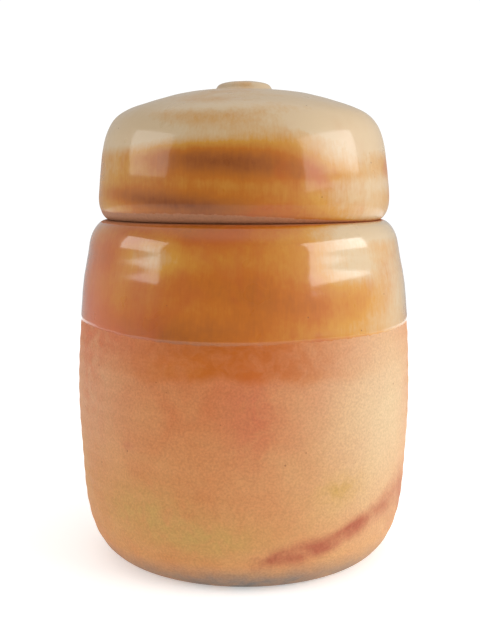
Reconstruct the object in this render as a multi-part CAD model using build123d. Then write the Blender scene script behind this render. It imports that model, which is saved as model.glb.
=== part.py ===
from build123d import *
import os

# Lidded pottery storage jar in two fired pieces: a barrel-shaped jar body with a short neck,
# and a deep cap lid with a low knob. The skirt of the lid drops over the neck and stands on
# the flat ledge of the shoulder. Both pieces are turned about Z.
# Millimetres, +Z up, origin at the centre of the foot, on the ground.

# Jar body, outside
BELLY_RADIUS = 88.8  # widest part of the barrel
BELLY_HEIGHT = 92.0
HEEL_INSET = 21.0  # outer edge of the foot, inside the belly
SHOULDER_INSET = 6.5  # where the shoulder starts to turn, inside the belly
SHOULDER_TURN = 16.0  # height of the shoulder's turn, up to the ledge
LEDGE_INSET = 9.7  # outer edge of the ledge, inside the start of the turn
LEDGE_HEIGHT = 177.0  # flat ledge that carries the lid

# Jar body, walls
WALL = 5.8  # barrel, shoulder and ledge
FLOOR = 8.0
FLOOR_BEND = 14.0  # inside, from the flat of the floor out to the wall

# Neck that the lid drops over
NECK_HEIGHT = 17.0  # above the ledge
NECK_WALL = 5.6
BORE_CORNER = 3.0  # rounding inside, under the ledge, where the bore opens into the jar

# Underside, trimmed hollow so that the jar stands on a ring
RING_WIDTH = 13.0
HOLLOW_DEPTH = 1.4
HOLLOW_SLOPE = 2.4  # width of the slope from the ring up into the hollow

# Lid, outside
LEDGE_MARGIN = 1.2  # bare ledge that shows outside the foot of the skirt
SKIRT_BULGE = 5.0  # how far the skirt swells out past its foot
BULGE_HEIGHT = 15.0  # above the ledge
CROWN_INSET = 4.7  # where the skirt turns over into the dome, inside the bulge
CROWN_HEIGHT = 44.8  # above the ledge
DOME_RISE = 22.0  # from the crown to the root of the knob
KNOB_RADIUS = 14.0
KNOB_ROOT = 4.0  # clay smoothed out round the knob
KNOB_HEIGHT = 4.9  # above the root

# Lid, walls and fit
LID_WALL = 5.6
LID_FOOT_WIDTH = 3.9  # flat foot that stands on the ledge
LID_FOOT_ROUND = 0.8  # inner edge of the foot
LID_CLEARANCE = 1.5  # round the neck
NECK_ROOT_SHARE = 0.7  # rounding at the root of the neck, of the clearance round it

# Radii that follow, from the outside in
foot_radius = BELLY_RADIUS - HEEL_INSET
shoulder_radius = BELLY_RADIUS - SHOULDER_INSET
ledge_radius = shoulder_radius - LEDGE_INSET
lid_foot_radius = ledge_radius - LEDGE_MARGIN
lid_inner_radius = lid_foot_radius - LID_FOOT_WIDTH
neck_radius = lid_inner_radius - LID_CLEARANCE
bore_radius = neck_radius - NECK_WALL

# Points between two named ones, as (share of the step in radius, share of the step in height)
HEEL_SHARES = ((0.42, 0.068), (0.757, 0.228), (0.93, 0.543))
UPPER_SHARES = ((0.277, 0.478),)
TURN_SHARES = ((0.247, 0.69),)
FLARE_SHARES = ((0.80, 0.307),)
SKIRT_SHARES = ((0.34, 0.537),)
DOME_SHARES = ((0.076, 0.314), (0.33, 0.65), (0.665, 0.89))
KNOB_SHARES = ((0.172, 0.18), (0.222, 0.47), (0.44, 0.857))

# Directions of the outline, in radius and height
OUTWARD = (1, 0)
INWARD = (-1, 0)
UPWARD = (0, 1)
HEEL_START = (1, 0.35)  # low slope at the edge of the jar's foot
FLARE_START = (1, 0.5)  # steeper at the edge of the lid's foot


def between(start, end, shares):
    """Outline points on the way from start to end, in radius and height."""
    run = end[0] - start[0]
    rise = end[1] - start[1]
    return [(start[0] + run * across, start[1] + rise * up) for across, up in shares]


def pulled_in(points, wall):
    """All but the end points, moved in by the wall, square to the line between their neighbours."""
    inner = []
    for before, here, after in zip(points, points[1:], points[2:]):
        along = (Vector(*after) - Vector(*before)).normalized()
        moved = Vector(*here) + Vector(-along.Y, along.X) * wall
        inner.append((moved.X, moved.Y))
    return inner


def smooth(points, start, end):
    """Curve through the points, leaving the first and reaching the last in the given directions."""
    ends = [Vector(*start).normalized(), Vector(*end).normalized()]
    return Spline(points, tangents=ends, tangent_scalars=[1, 1])


def turned(*lines):
    """The solid that a closed outline in radius and height makes when it turns about Z."""
    return revolve(Plane.XZ * make_face(Curve() + list(lines)), Axis.Z)


def rounded(solid, radius, height, rounding):
    """The solid with its circular edge at the given radius and height rounded off."""
    near = rounding / 2
    edges = [
        edge
        for edge in solid.edges().filter_by(GeomType.CIRCLE)
        if abs(edge.radius - radius) < near and abs(edge.arc_center.Z - height) < near
    ]
    return fillet(edges, rounding)


def jar_side():
    """Points of the outside of the pot, from the foot up to the ledge."""
    foot = (foot_radius, 0)
    belly = (BELLY_RADIUS, BELLY_HEIGHT)
    shoulder = (shoulder_radius, LEDGE_HEIGHT - SHOULDER_TURN)
    ledge = (ledge_radius, LEDGE_HEIGHT)
    heel = between(foot, belly, HEEL_SHARES)
    upper = between(belly, shoulder, UPPER_SHARES)
    turn = between(shoulder, ledge, TURN_SHARES)
    return [foot, *heel, belly, *upper, shoulder, *turn, ledge]


def make_jar_body():
    """Barrel, floor, ledge and neck in one piece, with an even wall."""
    side = jar_side()
    wall = pulled_in(side, WALL)[1:]
    ring_radius = foot_radius - RING_WIDTH
    hollow_centre = (0, HOLLOW_DEPTH)
    hollow_edge = (ring_radius - HOLLOW_SLOPE, HOLLOW_DEPTH)
    deck = LEDGE_HEIGHT - WALL
    deck_edge = (ledge_radius - WALL, deck)
    floor_edge = (wall[0][0] - FLOOR_BEND, FLOOR)
    rim_radius = NECK_WALL / 2
    rim_start = LEDGE_HEIGHT + NECK_HEIGHT - rim_radius
    rim_top = (bore_radius + rim_radius, LEDGE_HEIGHT + NECK_HEIGHT)
    pot = turned(
        Polyline(hollow_centre, hollow_edge, (ring_radius, 0), side[0]),
        smooth(side, HEEL_START, INWARD),
        Polyline(side[-1], (neck_radius, LEDGE_HEIGHT), (neck_radius, rim_start)),
        ThreePointArc((neck_radius, rim_start), rim_top, (bore_radius, rim_start)),
        Polyline((bore_radius, rim_start), (bore_radius, deck), deck_edge),
        smooth([floor_edge, *wall, deck_edge], OUTWARD, INWARD),
        Polyline(floor_edge, (0, FLOOR), hollow_centre),
    )
    pot = rounded(pot, neck_radius, LEDGE_HEIGHT, NECK_ROOT_SHARE * LID_CLEARANCE)
    return rounded(pot, bore_radius, deck, BORE_CORNER)


def lid_side():
    """Points of the outside of the lid, from the foot up to the root of the knob."""
    foot = (lid_foot_radius, LEDGE_HEIGHT)
    bulge_radius = lid_foot_radius + SKIRT_BULGE
    bulge = (bulge_radius, LEDGE_HEIGHT + BULGE_HEIGHT)
    crown = (bulge_radius - CROWN_INSET, LEDGE_HEIGHT + CROWN_HEIGHT)
    knob_root = (KNOB_RADIUS + KNOB_ROOT, LEDGE_HEIGHT + CROWN_HEIGHT + DOME_RISE)
    flare = between(foot, bulge, FLARE_SHARES)
    skirt = between(bulge, crown, SKIRT_SHARES)
    dome = between(crown, knob_root, DOME_SHARES)
    return [foot, *flare, bulge, *skirt, crown, *dome, knob_root]


def make_lid():
    """Skirt, dome and knob in one piece, hollow underneath."""
    side = lid_side()
    wall = pulled_in(side, LID_WALL)[1:]
    knob_root = side[-1]
    knob_top = (0, knob_root[1] + KNOB_HEIGHT)
    knob = between(knob_root, knob_top, KNOB_SHARES)
    underside = (0, knob_root[1] - LID_WALL)
    inner_foot = (lid_inner_radius, LEDGE_HEIGHT)
    lid = turned(
        smooth([*side, *knob, knob_top], FLARE_START, INWARD),
        Line(knob_top, underside),
        smooth([inner_foot, *wall, underside], UPWARD, INWARD),
        Line(inner_foot, side[0]),
    )
    return rounded(lid, lid_inner_radius, LEDGE_HEIGHT, LID_FOOT_ROUND)


if __name__ == "__main__":
    os.makedirs("parts", exist_ok=True)
    export_step(make_jar_body(), "parts/jar_body.step")
    export_step(make_lid(), "parts/lid.step")
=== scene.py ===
import logging
import math
from dataclasses import dataclass
from enum import Enum

import bpy
import numpy as np
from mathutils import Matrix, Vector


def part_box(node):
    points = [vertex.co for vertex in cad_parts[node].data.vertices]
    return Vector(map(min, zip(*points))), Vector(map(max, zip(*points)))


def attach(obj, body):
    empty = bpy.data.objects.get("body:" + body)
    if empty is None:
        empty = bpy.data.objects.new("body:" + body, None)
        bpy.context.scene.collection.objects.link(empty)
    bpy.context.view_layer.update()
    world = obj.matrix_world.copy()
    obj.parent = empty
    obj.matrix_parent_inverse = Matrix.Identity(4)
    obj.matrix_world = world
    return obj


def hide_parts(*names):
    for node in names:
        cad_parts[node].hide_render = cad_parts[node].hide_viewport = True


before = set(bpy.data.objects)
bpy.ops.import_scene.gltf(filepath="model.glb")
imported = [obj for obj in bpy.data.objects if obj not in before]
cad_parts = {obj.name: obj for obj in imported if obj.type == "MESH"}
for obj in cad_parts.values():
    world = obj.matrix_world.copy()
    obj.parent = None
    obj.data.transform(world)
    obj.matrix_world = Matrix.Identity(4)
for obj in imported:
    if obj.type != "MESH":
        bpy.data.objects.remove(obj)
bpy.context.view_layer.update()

# Looks of a wheel-thrown pottery jar and its cap lid. An amber glaze covers the lid and the
# shoulder down to a level dip line; below it the clay is bare and was coloured by the flame.
# Sizes are in millimetres until a mesh is made; angles are in degrees, 0 at the front (-Y)
# and growing towards +X.

LOG = logging.getLogger("pottery")
MM = 0.001
FULL_TURN = 360.0
ARC_PARTS = 8  # straight parts of a rounded corner

Grid = np.ndarray
Point = tuple[float, float]
Ease = tuple[Point, Point]
Stops = tuple[tuple[float, str], ...]
Socket = bpy.types.NodeSocket

OUTWARD: Point = (1.0, 0.0)
INWARD: Point = (-1.0, 0.0)
UPWARD: Point = (0.0, 1.0)
NO_LENGTH = np.zeros((1, 1))  # for waves that only run round
MIDDLE: Point = (0.3, 0.7)  # range that most values of a noise lie in


def linear(colour: str) -> tuple[float, float, float, float]:
    """Turns an sRGB hex colour into linear light.

    Each channel c becomes c / 12.92 up to 0.04045, and ((c + 0.055) / 1.055) ** 2.4 above it.

    Args:
        colour: Six hex digits, such as "b5682b".

    Returns:
        Linear red, green, blue and an alpha of 1.
    """
    channels = np.array([int(colour[i : i + 2], 16) for i in (0, 2, 4)]) / 255
    curved = ((channels + 0.055) / 1.055) ** 2.4
    red, green, blue = np.where(channels <= 0.04045, channels / 12.92, curved)
    return float(red), float(green), float(blue), 1.0


def smoothstep(low: float | Grid, high: float | Grid, value: Grid) -> Grid:
    """Eased step: 3t^2 - 2t^3, with t the clamped share of the way from low to high."""
    t = np.clip((value - low) / (high - low), 0.0, 1.0)
    return t * t * (3 - 2 * t)


def hump(centre: float, width: float, value: Grid) -> Grid:
    """Bell of height 1: e to the minus square of the distance from the centre over the width."""
    return np.exp(-(((value - centre) / width) ** 2))


def turn_apart(angle: Grid, facing: float) -> Grid:
    """Signed angle in degrees from a facing, between -180 and 180."""
    return (angle - facing + FULL_TURN / 2) % FULL_TURN - FULL_TURN / 2


def between(start: Point, end: Point, shares: tuple[Point, ...]) -> list[Point]:
    """Points on the way from start to end, by their shares of the step in radius and in height."""
    run, rise = end[0] - start[0], end[1] - start[1]
    return [(start[0] + run * across, start[1] + rise * up) for across, up in shares]


def pulled_in(points: list[Point], wall: float) -> list[Point]:
    """Moves all but the end points in, square to the line between their neighbours.

    Args:
        points: Radius and height of the points of an outside, from the bottom up.
        wall: Thickness of the wall.

    Returns:
        Points of the inside, two fewer.
    """
    path = np.array(points)
    along = path[2:] - path[:-2]
    along /= np.linalg.norm(along, axis=1, keepdims=True)
    inner = path[1:-1] + wall * np.stack((-along[:, 1], along[:, 0]), axis=1)
    return [tuple(point) for point in inner]


def smooth_run(points: list[Point], start: Point, end: Point, step: float) -> Grid:
    """Samples a smooth curve through the points of an outline.

    The curve is cubic between neighbours, with chord length as its parameter. Its slopes are
    those that keep its bend even across each point, and the two end slopes are given.

    Args:
        points: Radius and height of each point, in order.
        start: Direction of the curve at the first point.
        end: Direction of the curve at the last point.
        step: Distance between samples.

    Returns:
        Radius and height of each sample, one row each.
    """
    path = np.array(points, float)
    chord = np.linalg.norm(np.diff(path, axis=0), axis=1)
    knots = np.concatenate(([0.0], np.cumsum(chord)))
    before, after = chord[:-1, None], chord[1:, None]
    inside = np.arange(1, len(path) - 1)
    system = np.eye(len(path))
    system[inside, inside - 1] = after[:, 0]
    system[inside, inside] = 2 * (before + after)[:, 0]
    system[inside, inside + 1] = before[:, 0]
    wanted = np.zeros_like(path)
    wanted[0] = np.array(start) / np.linalg.norm(start)
    wanted[-1] = np.array(end) / np.linalg.norm(end)
    rise_before = (path[1:-1] - path[:-2]) / before
    rise_after = (path[2:] - path[1:-1]) / after
    wanted[1:-1] = 3 * (after * rise_before + before * rise_after)
    slope = np.linalg.solve(system, wanted)
    at = np.linspace(0, knots[-1], max(2, round(knots[-1] / step) + 1))
    k = np.clip(np.searchsorted(knots, at, side="right") - 1, 0, len(path) - 2)
    span = chord[k][:, None]
    t = (at - knots[k])[:, None] / span
    return (
        (2 * t**3 - 3 * t**2 + 1) * path[k]
        + (t**3 - 2 * t**2 + t) * span * slope[k]
        + (3 * t**2 - 2 * t**3) * path[k + 1]
        + (t**3 - t**2) * span * slope[k + 1]
    )


def straight_run(start: Point | Grid, end: Point | Grid, step: float) -> Grid:
    """Evenly spaced samples from start to end, both ends included."""
    count = max(1, math.ceil(np.linalg.norm(np.subtract(end, start)) / step))
    return np.linspace(start, end, count + 1)


def cornered_run(points: list[Point], roundings: tuple[float, ...], step: float) -> Grid:
    """Samples straight lines whose corners are arcs.

    At a corner that turns by an angle a, an arc of radius q starts and ends q tan(a / 2) from it.

    Args:
        points: Radius and height of the ends and corners, in order.
        roundings: Radius of the arc at each corner, between the first and last points.
        step: Distance between samples on the straight lines.

    Returns:
        Radius and height of each sample, one row each.
    """
    path = np.array(points, float)
    pieces, last = [], path[0]
    for corner, following, radius in zip(path[1:-1], path[2:], roundings):
        arrive = (corner - last) / np.linalg.norm(corner - last)
        leave = (following - corner) / np.linalg.norm(following - corner)
        turn = math.atan2(arrive[0] * leave[1] - arrive[1] * leave[0], arrive @ leave)
        reach = radius * math.tan(abs(turn) / 2)
        first, final = corner - arrive * reach, corner + leave * reach
        pieces.append(straight_run(last, first, step)[:-1])
        share = np.linspace(0, 1, ARC_PARTS + 1)[:-1, None] * turn
        side = np.array((-arrive[1], arrive[0])) * math.copysign(radius, turn)
        spoke = -side
        swung = spoke * np.cos(share) + np.array((-spoke[1], spoke[0])) * np.sin(share)
        pieces.append(first + side + swung)
        last = final
    pieces.append(straight_run(last, path[-1], step))
    return np.concatenate(pieces)


def half_round(start: Point, end: Point, parts: int = 12) -> Grid:
    """Samples the half circle over the top between two points at one height.

    At an angle a, its radius is that of their middle plus q cos a and it lies q sin a above them,
    with q half the distance between them.

    Args:
        start: Radius and height of its outer end.
        end: Radius and height of its inner end.
        parts: Straight parts that it is made of.

    Returns:
        Radius and height of each sample, one row each.
    """
    middle, radius = (start[0] + end[0]) / 2, (start[0] - end[0]) / 2
    angle = np.linspace(0, math.pi, parts + 1)
    return np.stack((middle + radius * np.cos(angle), start[1] + abs(radius) * np.sin(angle)), 1)


def wrapped(rows: int, columns: int) -> tuple[Grid, Grid]:
    """Numbers of a grid's vertices, and of their neighbours to the right, closed round."""
    index = np.arange(rows * columns).reshape(rows, columns)
    return index, np.roll(index, -1, axis=1)


class Coat(Enum):
    """Attributes that the meshes carry and the materials read."""

    GLAZE_REACH = "glaze_reach"  # millimetres into the glaze from its edge, negative on bare clay
    POOL_AND_LIGHT = "pool_and_light"  # how thick the glaze is: below 0 where it is thin, above 0 where it has pooled; its thin patches also paint highlights and lit sides paler
    WASH = "wash"  # thin overlap of glaze under the dip line, 0 to 1
    WIPED_AND_SHADE = "wiped_and_shade"  # clay wiped clean before firing, whose grey-brown is also painted shade in the joint between lid and jar, 0 to 1
    FOOT_SHADE = "foot_shade"  # painted shade round the heel where it stands on the table, over clay that is greyer there, 0 to 1
    FLASH = "flash"  # red-brown flame marks, 0 to 1
    ASH = "ash"  # ochre bloom from fly ash, 0 to 1
    BLUSH = "blush"  # pink blush, 0 to 1
    CREAM_AND_LIGHT = "cream_and_light"  # pale cream over the clay, 0 to 1: painted light on the two sides that face the softboxes, and a paler tone at the back


class Surface(Enum):
    """Ways in which a pattern is laid over a surface, by the scale of its coordinates."""

    EVEN = (1.0, 1.0, 1.0)
    LEVEL_LINES = (0.02, 0.02, 1.0)
    RUNS_DOWN = (1.0, 1.0, 0.12)


@dataclass
class Outline:
    """A closed outline from one point on the axis to another, in radius and height.

    The air is on the right-hand side of the way along it. Starts tells at what length along the
    outline each named stretch begins, and where the last one ends.
    """

    radius: Grid
    height: Grid
    along: Grid
    starts: dict[str, float]

    @classmethod
    def of(cls, stretches: dict[str, Grid]) -> "Outline":
        """Joins stretches end to end.

        Args:
            stretches: Samples of each named stretch, the first where the last one's end.

        Returns:
            The outline.
        """
        points, starts, length = [], {}, 0.0
        for name, run in stretches.items():
            starts[name] = length
            length += float(np.linalg.norm(np.diff(run, axis=0), axis=1).sum())
            points.append(run if not points else run[1:])
        path = np.concatenate(points)
        steps = np.linalg.norm(np.diff(path, axis=0), axis=1)
        starts["end"] = length
        return cls(path[:, 0], path[:, 1], np.concatenate(([0.0], np.cumsum(steps))), starts)

    def length_at(self, stretch: str, height: float) -> float:
        """Finds where a rising stretch reaches a height.

        Args:
            stretch: Name of the stretch.
            height: The height.

        Returns:
            Length along the outline.
        """
        names = list(self.starts)
        low, high = self.starts[stretch], self.starts[names[names.index(stretch) + 1]]
        within = (self.along >= low) & (self.along <= high)
        return float(np.interp(height, self.height[within], self.along[within]))

    def eased(self, first: str, last: str, ease: Ease) -> Grid:
        """Weighs the samples by 1 between two places, with an eased step at each.

        Args:
            first: Stretch that begins at the first place.
            last: Stretch that begins at the last place, or "end".
            ease: Lengths after the first place at which the weight leaves 0 and reaches 1, and
                lengths before the last place at which it is 0 again and at which it leaves 1.

        Returns:
            The weights, as one column.
        """
        along, start, end = self.along[:, None], self.starts[first], self.starts[last]
        rise, fall = ease
        weight = smoothstep(start + rise[0], start + rise[1], along)
        return weight * smoothstep(end - fall[0], end - fall[1], along)

    def outward(self) -> Grid:
        """Finds the way to the air: the way along the outline, turned right by a quarter.

        Returns:
            A unit direction in radius and height for each sample.
        """
        run = np.gradient(self.radius, self.along)
        rise = np.gradient(self.height, self.along)
        size = np.hypot(run, rise)
        return np.stack((rise / size, -run / size), axis=1)


@dataclass
class Turning:
    """An outline carried round the axis, with a lift of each point towards the air.

    A point at angle a and radius r, lifted by d along the outline's outward direction (p, q),
    lies at x = (r + d p) sin a, y = -(r + d p) cos a, z = h + d q.
    """

    outline: Outline
    around: int

    def angles(self) -> Grid:
        """Angles of the columns in degrees, as one row."""
        return (np.arange(self.around) * FULL_TURN / self.around)[None, :]

    def lengths(self) -> Grid:
        """Lengths along the outline of the rows, as one column."""
        return self.outline.along[:, None]

    def heights(self) -> Grid:
        """Heights of the rows before any lift, as one column."""
        return self.outline.height[:, None]

    def mesh(self, name: str, lift: Grid) -> bpy.types.Mesh:
        """Builds the closed mesh.

        Args:
            name: Name of the mesh.
            lift: Millimetres towards the air, a row for each sample and a column for each angle.

        Returns:
            A mesh whose two ends on the axis are one vertex each.
        """
        face_out = self.outline.outward()
        radius = self.outline.radius[:, None] + lift * face_out[:, :1]
        height = self.heights() + lift * face_out[:, 1:]
        angle = np.radians(self.angles())
        ring = np.stack((radius * np.sin(angle), -radius * np.cos(angle), height), axis=2)
        ring = ring[1:-1].reshape(-1, 3)
        poles = np.array([[0, 0, height[0].mean()], [0, 0, height[-1].mean()]])
        verts = np.concatenate((ring, poles)) * MM
        index, after = wrapped(len(self.outline.radius) - 2, self.around)
        quads = np.stack((index[:-1], after[:-1], after[1:], index[1:]), axis=2).reshape(-1, 4)
        first = np.stack((np.full(self.around, len(ring)), after[0], index[0]), axis=1)
        last = np.stack((np.full(self.around, len(ring) + 1), index[-1], after[-1]), axis=1)
        mesh = bpy.data.meshes.new(name)
        mesh.from_pydata(verts.tolist(), [], quads.tolist() + first.tolist() + last.tolist())
        mesh.polygons.foreach_set("use_smooth", np.ones(len(mesh.polygons), bool))
        mesh.update()
        return mesh

    def paint(self, mesh: bpy.types.Mesh, coats: dict[Coat, Grid]) -> None:
        """Stores every coat as a float attribute of the mesh's vertices.

        Args:
            mesh: A mesh from this turning.
            coats: A grid of values for each coat; one that is left out is 0 all over.
        """
        for coat in Coat:
            full = np.broadcast_to(coats.get(coat, 0.0), (len(self.outline.along), self.around))
            poles = np.array([full[0].mean(), full[-1].mean()])
            values = np.concatenate((full[1:-1].ravel(), poles)).astype(np.float32)
            mesh.attributes.new(coat.value, "FLOAT", "POINT").data.foreach_set("value", values)


@dataclass(frozen=True)
class Rings:
    """Grooves that a potter's fingers leave while the wheel turns.

    The groove is a helix: depth times half of (1 + cos of 2 pi (length / pitch - angle / 360)),
    taken away from the wall.
    """

    pitch: float
    depth: float

    def over(self, along: Grid, angle: Grid) -> Grid:
        """Lift of the wall at each length along the outline and angle."""
        phase = 2 * math.pi * (along / self.pitch - angle / FULL_TURN)
        return -self.depth * 0.5 * (1 + np.cos(phase))


@dataclass(frozen=True)
class Waves:
    """Smooth random hills that join up all the way round, from about minus size to size.

    Size times the sum of sines of (n angle + 2 pi length / wavelength + phase), over the root of
    their count, for random whole numbers n from 0 to most, wavelengths and phases.
    """

    size: float
    longest: float
    seed: int
    count: int = 9
    most: int = 5
    spread: float = 4.0  # the longest wavelength over the shortest

    def over(self, angle: Grid, along: Grid = NO_LENGTH) -> Grid:
        """Works out the height of the hills.

        Args:
            angle: Angles in degrees.
            along: Lengths along the outline; left out for waves that only run round.

        Returns:
            The heights, a row for each length and a column for each angle.
        """
        rng = np.random.default_rng(self.seed)
        total = np.zeros(np.broadcast_shapes(along.shape, angle.shape))
        for _ in range(self.count):
            turns = rng.integers(0, self.most + 1)
            wavelength = self.longest / rng.uniform(1, self.spread) * rng.choice((-1, 1))
            phase = rng.uniform(0, 2 * math.pi)
            total += np.sin(turns * np.radians(angle) + 2 * math.pi * along / wavelength + phase)
        return self.size * (total / math.sqrt(self.count))


@dataclass(frozen=True)
class Side:
    """A soft-edged side of a turned piece, as high as the piece, in degrees round."""

    facing: float
    half_turn: float
    strength: float = 1.0

    def mask(self, angle: Grid) -> Grid:
        """Strength times a bell round the facing."""
        return self.strength * hump(0, self.half_turn, turn_apart(angle, self.facing))


@dataclass(frozen=True)
class Patch:
    """A soft-edged patch on a turned piece, in degrees round and millimetres up."""

    facing: float
    height: float
    half_turn: float
    half_height: float
    strength: float = 1.0
    lean: float = 0.0  # millimetres that its middle climbs for each degree round

    def mask(self, angle: Grid, height: Grid) -> Grid:
        """Multiplies the strength, a bell round the facing and a bell about the height.

        Args:
            angle: Angles in degrees.
            height: Heights on the piece.

        Returns:
            The mask, a row for each height and a column for each angle.
        """
        off = turn_apart(angle, self.facing)
        above = height - (self.height + self.lean * off)
        return self.strength * hump(0, self.half_turn, off) * hump(0, self.half_height, above)


def patched(patches: tuple[Patch, ...], angle: Grid, height: Grid) -> Grid:
    """Sum of the masks of all patches, held between -1 and 1."""
    return np.clip(sum(patch.mask(angle, height) for patch in patches), -1.0, 1.0)


def add_node(tree: bpy.types.NodeTree, kind: str, settings: dict | None = None,
             inputs: dict | None = None) -> bpy.types.Node:
    """Adds a node to a tree.

    Args:
        tree: The node tree.
        kind: Blender's name of the node type.
        settings: Properties of the node.
        inputs: What goes into its inputs, by name or number. A socket is linked, a hex colour is
            turned into linear light, and any other value is set as it is.

    Returns:
        The new node.
    """
    node = tree.nodes.new(kind)
    for name, value in (settings or {}).items():
        setattr(node, name, value)
    for name, value in (inputs or {}).items():
        if isinstance(value, Socket):
            tree.links.new(value, node.inputs[name])
        else:
            node.inputs[name].default_value = linear(value) if isinstance(value, str) else value
    return node


def cleared_tree(holder: bpy.types.Material | bpy.types.World) -> bpy.types.NodeTree:
    """Makes a material or a world use nodes, and empties its tree.

    Args:
        holder: The material or the world.

    Returns:
        Its tree.
    """
    holder.use_nodes = True
    holder.node_tree.nodes.clear()
    return holder.node_tree


@dataclass
class Recipe:
    """A node tree in the making, with the steps that the finishes share."""

    tree: bpy.types.NodeTree
    place: Socket

    @classmethod
    def on(cls, material: bpy.types.Material) -> "Recipe":
        """Starts a material's recipe from the object's own coordinates.

        Args:
            material: The material.

        Returns:
            A recipe whose place is in millimetres.
        """
        tree = cleared_tree(material)
        inputs = {0: add_node(tree, "ShaderNodeTexCoord").outputs["Object"], "Scale": 1 / MM}
        scaled = add_node(tree, "ShaderNodeVectorMath", {"operation": "SCALE"}, inputs)
        return cls(tree, scaled.outputs["Vector"])

    def height(self) -> Socket:
        """Height above the table, in millimetres."""
        return add_node(self.tree, "ShaderNodeSeparateXYZ", inputs={0: self.place}).outputs["Z"]

    def coat(self, coat: Coat) -> Socket:
        """Reads one of the mesh's painted attributes."""
        return add_node(self.tree, "ShaderNodeAttribute", {"attribute_name": coat.value}).outputs["Fac"]

    def laid(self, surface: Surface, offset: float) -> Socket:
        """Coordinates scaled for a way of laying a pattern, and moved aside by an offset."""
        inputs = {"Location": (offset, offset, offset), "Scale": surface.value, "Vector": self.place}
        return add_node(self.tree, "ShaderNodeMapping", inputs=inputs).outputs["Vector"]

    def math(self, operation: str, *inputs: Socket | float, clamp: bool = False) -> Socket:
        """One arithmetic step on sockets or plain numbers."""
        settings = {"operation": operation, "use_clamp": clamp}
        return add_node(self.tree, "ShaderNodeMath", settings, dict(enumerate(inputs))).outputs[0]

    def total(self, *terms: tuple[Socket, float]) -> Socket:
        """Adds up sockets, each times its weight.

        Args:
            terms: Pairs of a socket and its weight.

        Returns:
            The sum.
        """
        result: Socket | float = 0.0
        for socket, weight in terms:
            result = self.math("MULTIPLY_ADD", socket, weight, result)
        return result

    def ranged(self, value: Socket, source: Point, target: Point, smooth: bool = False) -> Socket:
        """Maps a range onto another, held at its ends.

        Args:
            value: What is mapped.
            source: Values that become the two target values.
            target: The values at the two ends.
            smooth: Whether the way between is an eased step and not a straight line.

        Returns:
            The mapped value.
        """
        settings = {"interpolation_type": "SMOOTHSTEP" if smooth else "LINEAR", "clamp": True}
        inputs = {"Value": value, "From Min": source[0], "From Max": source[1],
                  "To Min": target[0], "To Max": target[1]}
        return add_node(self.tree, "ShaderNodeMapRange", settings, inputs).outputs["Result"]

    def eased(self, share: Socket, first: Socket, second: Socket) -> Socket:
        """Goes from one number to another by a share."""
        inputs = {0: share, 2: first, 3: second}
        return add_node(self.tree, "ShaderNodeMix", {"data_type": "FLOAT"}, inputs).outputs[0]

    def mixed(self, share: Socket | float, first: Socket | str, second: Socket | str,
              blend: str = "MIX") -> Socket:
        """Mixes two colours by a share."""
        settings = {"data_type": "RGBA", "blend_type": blend}
        return add_node(self.tree, "ShaderNodeMix", settings, {0: share, 6: first, 7: second}).outputs[2]

    def covered(self, body: Socket, colour: str, share: Socket, weight: Socket | float) -> Socket:
        """Covers a coloured body with a colour, by a share times a weight, held from 0 to 1."""
        return self.mixed(self.math("MULTIPLY", share, weight, clamp=True), body, colour)

    def ramp(self, value: Socket, stops: Stops) -> Socket:
        """Runs a value through a row of colours.

        Args:
            value: A value from 0 to 1.
            stops: Place and colour of each stop.

        Returns:
            The colour.
        """
        node = add_node(self.tree, "ShaderNodeValToRGB", inputs={0: value})
        elements = node.color_ramp.elements
        while len(elements) < len(stops):
            elements.new(1.0)
        for element, (position, colour) in zip(elements, stops):
            element.position, element.color = position, linear(colour)
        return node.outputs[0]

    def grey(self, value: Socket) -> Socket:
        """A grey colour of the given brightness."""
        inputs = {0: value, 1: value, 2: value}
        return add_node(self.tree, "ShaderNodeCombineColor", inputs=inputs).outputs[0]

    def direction(self, height: Socket) -> Socket:
        """Turns a height in millimetres into a surface direction."""
        inputs = {"Height": height, "Strength": 1.0, "Distance": MM}
        return add_node(self.tree, "ShaderNodeBump", inputs=inputs).outputs["Normal"]


@dataclass(frozen=True)
class Noise:
    """A cloudy pattern from 0 to 1; size is that of its coarsest features, in millimetres."""

    size: float
    detail: float
    offset: float
    surface: Surface = Surface.EVEN
    warp: float = 0.0
    roughness: float = 0.55

    def draw(self, recipe: Recipe) -> Socket:
        """Adds the pattern to a recipe."""
        inputs = {"Vector": recipe.laid(self.surface, self.offset), "Scale": 1 / self.size,
                  "Detail": self.detail, "Roughness": self.roughness, "Distortion": self.warp}
        return add_node(recipe.tree, "ShaderNodeTexNoise", inputs=inputs).outputs["Fac"]


@dataclass(frozen=True)
class Cloud:
    """A noise whose source range is mapped onto a target range, held at its ends."""

    noise: Noise
    source: Point
    target: Point
    smooth: bool = False

    def draw(self, recipe: Recipe) -> Socket:
        """Adds the mapped pattern to a recipe."""
        return recipe.ranged(self.noise.draw(recipe), self.source, self.target, self.smooth)


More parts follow.
